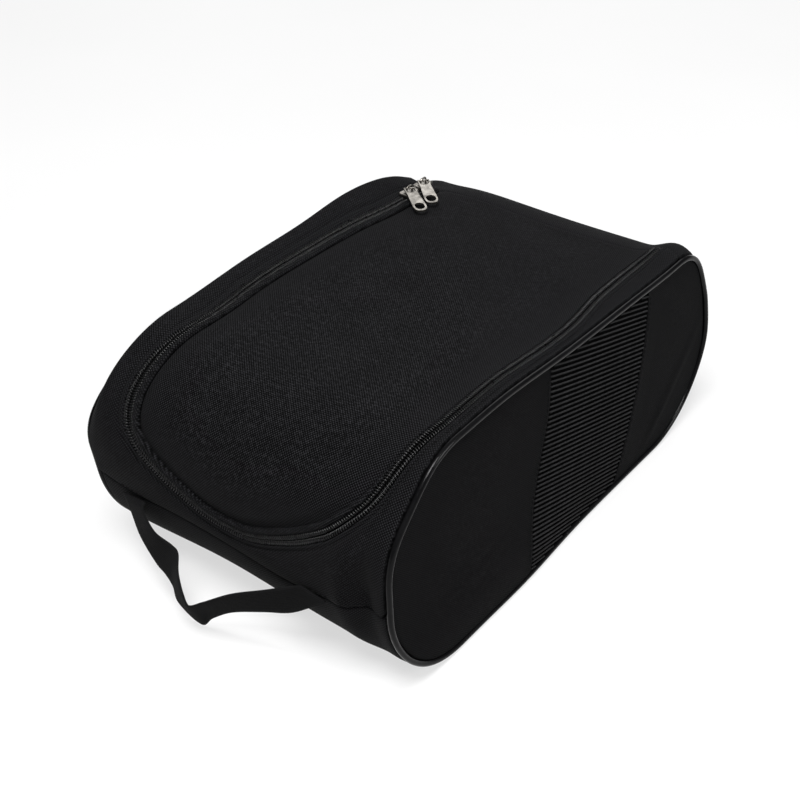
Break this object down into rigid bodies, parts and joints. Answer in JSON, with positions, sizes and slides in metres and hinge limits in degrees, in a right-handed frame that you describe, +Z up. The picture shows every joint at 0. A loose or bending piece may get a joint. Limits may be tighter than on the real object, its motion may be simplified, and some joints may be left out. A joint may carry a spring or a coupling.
{
  "type": "golf shoe bag",
  "caption": "Padded zip-around golf shoe bag with a lift-up lid, mesh side inserts, glossy piping and a webbing carrying loop.",
  "frame": {"origin": "centre of the flat bottom", "axes": "+Z up; +Y along the bag from the handle end to the hinge end; +X across, to the right seen from the handle end"},
  "size_m": [0.22, 0.3658, 0.1433],
  "materials": {
    "shell_fabric": "coarse woven polyester, matt with a slight sheen",
    "side_fabric": "fine woven polyester, matt",
    "rib_mesh": "ribbed knitted mesh, matt",
    "webbing": "flat woven webbing, matt",
    "zip_tape": "woven zip tape, matt",
    "zip_coil": "nylon coil, satin",
    "piping": "glossy vinyl",
    "binding": "woven tape, matt",
    "lining": "thin woven polyester, matt",
    "foam": "closed-cell foam, matt",
    "board": "polyethylene sheet, matt",
    "nickel": "antique nickel plate, satin"
  },
  "bodies": {
    "bag": {"body_coil": "zip_coil", "body_tape": "zip_tape", "bottom_board": "board", "bottom_fabric": "shell_fabric", "bottom_foam": "foam", "front_panel_fabric": "shell_fabric", "front_panel_foam": "foam", "gusset_lining": "lining", "handle_tails": "webbing", "hinge_seam_binding": "binding", "left_piping": "piping", "left_seam_binding": "binding", "left_side_foam": "foam", "left_side_front": "side_fabric", "left_side_lining": "lining", "left_side_mesh": "rib_mesh", "left_side_rear": "side_fabric", "lid_root_coil": "zip_coil", "lid_root_fabric": "shell_fabric", "lid_root_foam": "foam", "lid_root_lining": "lining", "lid_root_tape": "zip_tape", "lid_root_welt": "shell_fabric", "rear_panel_fabric": "shell_fabric", "rear_panel_foam": "foam", "right_piping": "piping", "right_seam_binding": "binding", "right_side_foam": "foam", "right_side_front": "side_fabric", "right_side_lining": "lining", "right_side_mesh": "rib_mesh", "right_side_rear": "side_fabric", "surround_fabric": "shell_fabric", "surround_foam": "foam"},
    "lid": {"lid_coil": "zip_coil", "lid_fabric": "shell_fabric", "lid_foam": "foam", "lid_lining": "lining", "lid_tape": "zip_tape", "lid_welt": "shell_fabric"},
    "rear_slider": {"rear_slider": "nickel"},
    "rear_pull": {"rear_pull": "nickel"},
    "front_slider": {"front_slider": "nickel"},
    "front_pull": {"front_pull": "nickel"},
    "handle": {"handle_strap": "webbing"}
  },
  "joints": [
    {"name": "lid_hinge", "type": "hinge", "parent": "bag", "child": "lid", "pos_m": [0, 0.06, 0.13809], "axis": [-1, 0, 0], "range_deg": [0, 125]},
    {"name": "rear_slider_slide", "type": "slide", "parent": "bag", "child": "rear_slider", "axis": [-0.0088, -0.9994, 0.0326], "range_m": [0, 0.08]},
    {"name": "front_slider_slide", "type": "slide", "parent": "rear_slider", "child": "front_slider", "axis": [-0.0088, -0.9994, 0.0326], "range_m": [0, 0.105]},
    {"name": "rear_pull_hinge", "type": "hinge", "parent": "rear_slider", "child": "rear_pull", "pos_m": [-0.08304, 0.11565, 0.13988], "axis": [-0.6495, -0.7599, 0.0248], "range_deg": [0, 150]},
    {"name": "front_pull_hinge", "type": "hinge", "parent": "front_slider", "child": "front_pull", "pos_m": [-0.08317, 0.10065, 0.14037], "axis": [-0.5949, -0.8034, 0.0262], "range_deg": [0, 150]},
    {"name": "handle_hinge", "type": "hinge", "parent": "bag", "child": "handle", "pos_m": [0, -0.1726, 0.057], "axis": [-1, 0, 0], "range_deg": [0, 90]}
  ]
}
